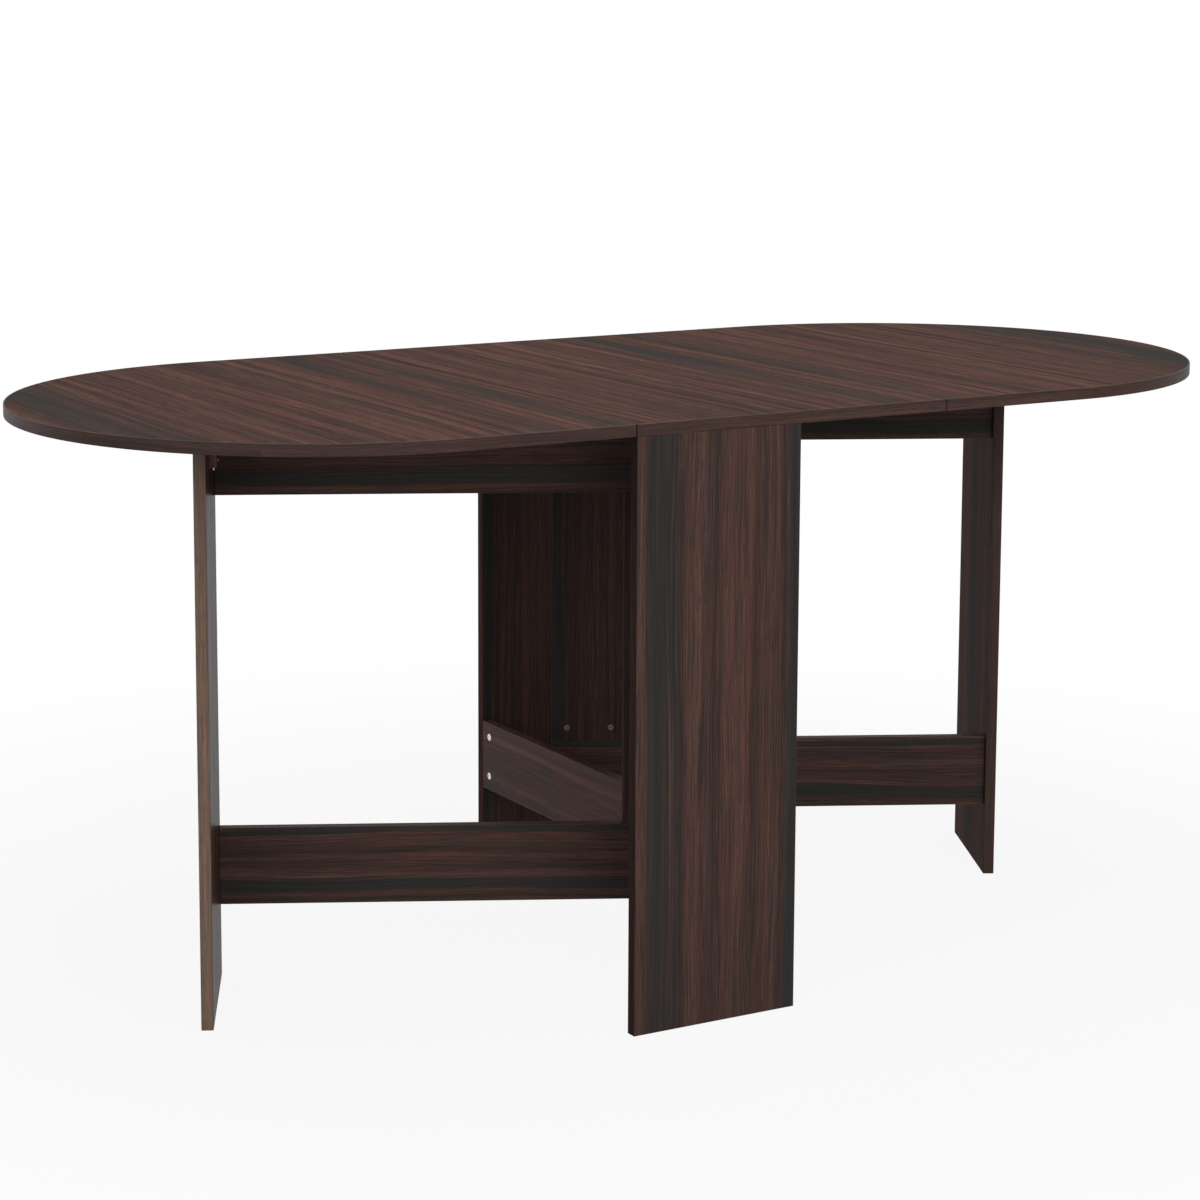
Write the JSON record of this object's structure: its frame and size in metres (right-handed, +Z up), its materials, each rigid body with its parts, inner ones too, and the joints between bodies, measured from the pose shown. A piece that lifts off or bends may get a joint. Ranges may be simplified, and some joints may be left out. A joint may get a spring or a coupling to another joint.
{
  "type": "drop-leaf dining table",
  "caption": "Oval drop-leaf dining table in dark laminate: a fixed centre on end panels and a spine, hinged leaves, and gates with wide legs that swing out under them.",
  "frame": {"origin": "on the floor under the middle of the top", "axes": "+X along the table's length, +Y across it to the back, +Z up"},
  "size_m": [1.68, 0.8, 0.75],
  "materials": {
    "top_laminate": "satin dark wood-grain laminate, grain across the table",
    "rim_band": "dark wood-grain edge band",
    "upright_laminate": "satin dark wood-grain laminate, upright grain",
    "rail_laminate": "satin dark wood-grain laminate, level grain",
    "beech_dowel": "plain turned beech",
    "bush_plastic": "plain moulded nylon",
    "cap_plastic": "dark moulded cap",
    "rest_plastic": "maroon moulded plastic",
    "red_plastic": "bright red moulded plastic",
    "cam_zinc": "bright zinc casting",
    "plate_paint": "dark painted steel",
    "fitting_steel": "zinc-plated steel"
  },
  "bodies": {
    "base": {"centre_rims": "rim_band", "centre_top": "top_laminate", "front_panel": "upright_laminate", "left_hinge_frame_halves": "fitting_steel", "left_hinge_frame_screws": "fitting_steel", "left_hinge_pins": "fitting_steel", "lower_pivot_plates": "plate_paint", "panel_cam_bolts": "fitting_steel", "panel_cams": "cam_zinc", "panel_dowels": "beech_dowel", "pivot_pins": "fitting_steel", "pivot_plate_screws": "fitting_steel", "rear_panel": "upright_laminate", "right_hinge_frame_halves": "fitting_steel", "right_hinge_frame_screws": "fitting_steel", "right_hinge_pins": "fitting_steel", "spine_cam_bolts": "fitting_steel", "spine_cams": "cam_zinc", "spine_lower_rail": "rail_laminate", "spine_upper_rail": "rail_laminate", "upper_pivot_plates": "plate_paint"},
    "left_drop_leaf": {"left_hinge_leaf_halves": "fitting_steel", "left_hinge_leaf_screws": "fitting_steel", "left_leaf": "top_laminate", "left_leaf_rim": "rim_band"},
    "left_gate": {"left_leg": "upright_laminate", "left_lower_rail": "rail_laminate", "left_pivot_bushes": "bush_plastic", "left_rail_dowels": "beech_dowel", "left_rail_screw_caps": "cap_plastic", "left_rail_screws": "fitting_steel", "left_rest_block": "rest_plastic", "left_rest_caps": "red_plastic", "left_rest_pin": "fitting_steel", "left_rest_screws": "fitting_steel", "left_stile": "upright_laminate", "left_stile_cam_bolts": "fitting_steel", "left_stile_cams": "cam_zinc", "left_upper_rail": "rail_laminate"},
    "right_drop_leaf": {"right_hinge_leaf_halves": "fitting_steel", "right_hinge_leaf_screws": "fitting_steel", "right_leaf": "top_laminate", "right_leaf_rim": "rim_band"},
    "right_gate": {"right_leg": "upright_laminate", "right_lower_rail": "rail_laminate", "right_pivot_bushes": "bush_plastic", "right_rail_dowels": "beech_dowel", "right_rail_screw_caps": "cap_plastic", "right_rail_screws": "fitting_steel", "right_rest_block": "rest_plastic", "right_rest_caps": "red_plastic", "right_rest_pin": "fitting_steel", "right_rest_screws": "fitting_steel", "right_stile": "upright_laminate", "right_stile_cam_bolts": "fitting_steel", "right_stile_cams": "cam_zinc", "right_upper_rail": "rail_laminate"}
  },
  "joints": [
    {"name": "left_gate_swing", "type": "hinge", "parent": "base", "child": "left_gate", "pos_m": [-0.026, -0.226, 0.4], "axis": [0, 0, -1], "range_deg": [0, 63.7]},
    {"name": "right_gate_swing", "type": "hinge", "parent": "base", "child": "right_gate", "pos_m": [0.026, 0.226, 0.4], "axis": [0, 0, -1], "range_deg": [0, 63.7]},
    {"name": "left_leaf_lift", "type": "hinge", "parent": "base", "child": "left_drop_leaf", "pos_m": [-0.226, 0, 0.7324], "axis": [0, 1, 0], "range_deg": [0, 5]},
    {"name": "right_leaf_lift", "type": "hinge", "parent": "base", "child": "right_drop_leaf", "pos_m": [0.226, 0, 0.7324], "axis": [0, -1, 0], "range_deg": [0, 5]}
  ]
}
